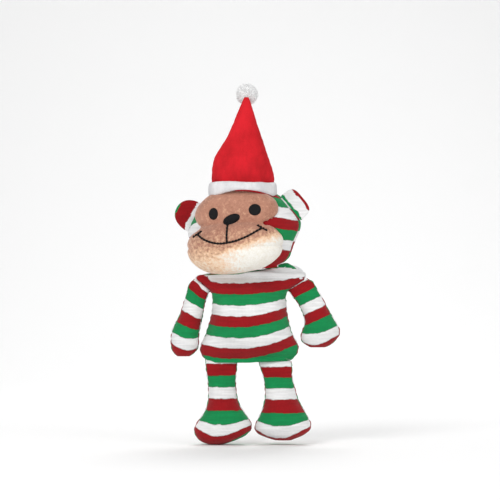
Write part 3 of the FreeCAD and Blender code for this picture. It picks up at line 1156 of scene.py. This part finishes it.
def make_pom_pom():
    """A ball of cut yarn: a lumpy core, many short strands, and the knot it hangs by."""
    low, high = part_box("pom_pom")
    centre = (low + high) / 2
    radius = (high.x - low.x) / 2
    bm = bmesh.new()
    bmesh.ops.create_icosphere(bm, subdivisions=4, radius=radius * 0.88)
    for vertex in bm.verts:
        lump = noise.noise(vertex.co / (3.2 * MM)) * 0.5 + noise.noise(vertex.co / (1.3 * MM)) * 0.3
        vertex.co += vertex.co.normalized() * lump * MM
        vertex.co += centre
    knot = bmesh.ops.create_icosphere(bm, subdivisions=2, radius=KNOT_RADIUS)
    for vertex in knot["verts"]:
        vertex.co += joint_place("pom_pom_swing")
    bm.verts.index_update()
    faces = [tuple(v.index for v in face.verts) for face in bm.faces]
    vertices = [v.co.copy() for v in bm.verts]
    bm.free()
    random = np.random.default_rng(7)
    for k in range(STRANDS):
        z = 1 - 2 * (k + 0.5) / STRANDS
        turn = k * math.pi * (3 - math.sqrt(5))
        flat = math.sqrt(1 - z * z)
        out = Vector((flat * math.cos(turn), flat * math.sin(turn), z))
        tip = (out + Vector(random.normal(0, 0.28, 3))).normalized()
        length = radius * (1.0 + random.uniform(-0.07, 0.05))
        thick = random.uniform(0.28, 0.42) * MM
        side = out.cross(Vector((0.3, 0.5, 0.8))).normalized()
        other = out.cross(side).normalized()
        first = len(vertices)
        for share, swell in ((0.80, 1.0), (0.92, 1.05), (1.0, 0.55)):
            direction = out.lerp(tip, (share - 0.8) * 3.5).normalized()
            middle = centre + direction * length * share
            vertices += ring(middle, side, other, thick * swell, STRAND_SPOKES)
        faces += tube_faces(3, STRAND_SPOKES, first)
        faces.append(tuple(first + 2 * STRAND_SPOKES + j for j in range(STRAND_SPOKES)))
    piece = new_piece("pom_pom_yarn", vertices, faces, "white_yarn", "pom_pom", ["pom_pom"])
    turn_outwards(piece.data)


def finish_inner_nodes():
    """Gives the fillings and the crown, which stay as they are, their materials."""
    inner = {node: "filling" for node in frame["nodes"] if node.endswith("stuffing")}
    inner["hat_crown"] = "red_velour"
    for node, slot in inner.items():
        materials = frame["nodes"][node].data.materials
        materials.clear()
        materials.append(MATERIALS[slot])


# ---- stage, light and camera

VIEW_WIDTH = 0.395  # m that the picture spans at the toy's distance
VIEW_X = -4.4 * MM
VIEW_Z = 153.7 * MM
DISTANCE = 2.2  # m from the camera to the toy
SENSOR = 36  # mm
BEND_START = 0.9  # m behind the toy, where the floor starts to curve up
BEND_RADIUS = 0.6


def make_stage():
    """A pale floor that curves up into a pale backdrop."""
    floor_z = cad_box[0][2]
    profile = [(-3.0, 0.0), (BEND_START, 0.0)]
    for k in range(1, 13):
        angle = math.pi / 2 * k / 12
        ahead = BEND_START + BEND_RADIUS * math.sin(angle)
        profile.append((ahead, BEND_RADIUS * (1 - math.cos(angle))))
    profile.append((BEND_START + BEND_RADIUS, 3.0))
    vertices = []
    for x in (-4.0, 4.0):
        vertices += [(x, y, floor_z + z) for y, z in profile]
    count = len(profile)
    faces = [(k, k + 1, count + k + 1, count + k) for k in range(count - 1)]
    mesh = new_mesh("backdrop", vertices, faces)
    mesh.polygons.foreach_set("use_smooth", [True] * len(mesh.polygons))
    n = Nodes("backdrop")
    set_inputs(n.shader, {"Base Color": BACKDROP, "Roughness": 0.9, "Specular IOR Level": 0.0})
    mesh.materials.append(n.material)
    link_object("backdrop", mesh)


def area_light(name, place, aim, size, power):
    data = bpy.data.lights.new(name, "AREA")
    data.shape = "DISK"
    data.size = size
    data.energy = power
    light = link_object(name, data)
    light.location = place
    light.rotation_euler = (Vector(aim) - Vector(place)).to_track_quat("-Z", "Y").to_euler()


def make_light_and_camera():
    aim = (0, 0, 0.14)
    area_light("key", (-0.7, -1.3, 1.15), aim, 0.8, 12.5)
    area_light("fill", (1.1, -1.2, 0.55), aim, 1.1, 6)
    area_light("rim", (0.1, 0.9, 1.2), aim, 0.8, 8)
    area_light("low", (-0.2, -1.5, 0.1), aim, 0.9, 3)
    world = bpy.data.worlds.new("studio")
    world.use_nodes = True
    set_inputs(world.node_tree.nodes["Background"], {"Color": (1, 1, 1, 1), "Strength": 0.5})
    bpy.context.scene.world = world
    camera_data = bpy.data.cameras.new("camera")
    camera_data.sensor_width = SENSOR
    camera_data.lens = SENSOR * DISTANCE / VIEW_WIDTH
    camera = link_object("camera", camera_data)
    camera.location = (VIEW_X, SEAM_Y - DISTANCE, VIEW_Z)
    camera.rotation_euler = (math.pi / 2, 0, 0)
    bpy.context.scene.camera = camera
    bpy.context.scene.view_settings.view_transform = "Standard"


make_tunic()
for limb in STRIPE_EDGES:
    make_limb(limb)
make_hood()
face_tree = make_face()
for oval, facts in OVALS.items():
    embroider_oval(face_tree, oval, *facts)
make_mouth(face_tree)
make_ear("ear_left", 1)
make_ear("ear_right", -1)
make_hat_cone()
make_hat_band()
make_hood_piping()
make_pom_pom()
finish_inner_nodes()
make_stage()
make_light_and_camera()
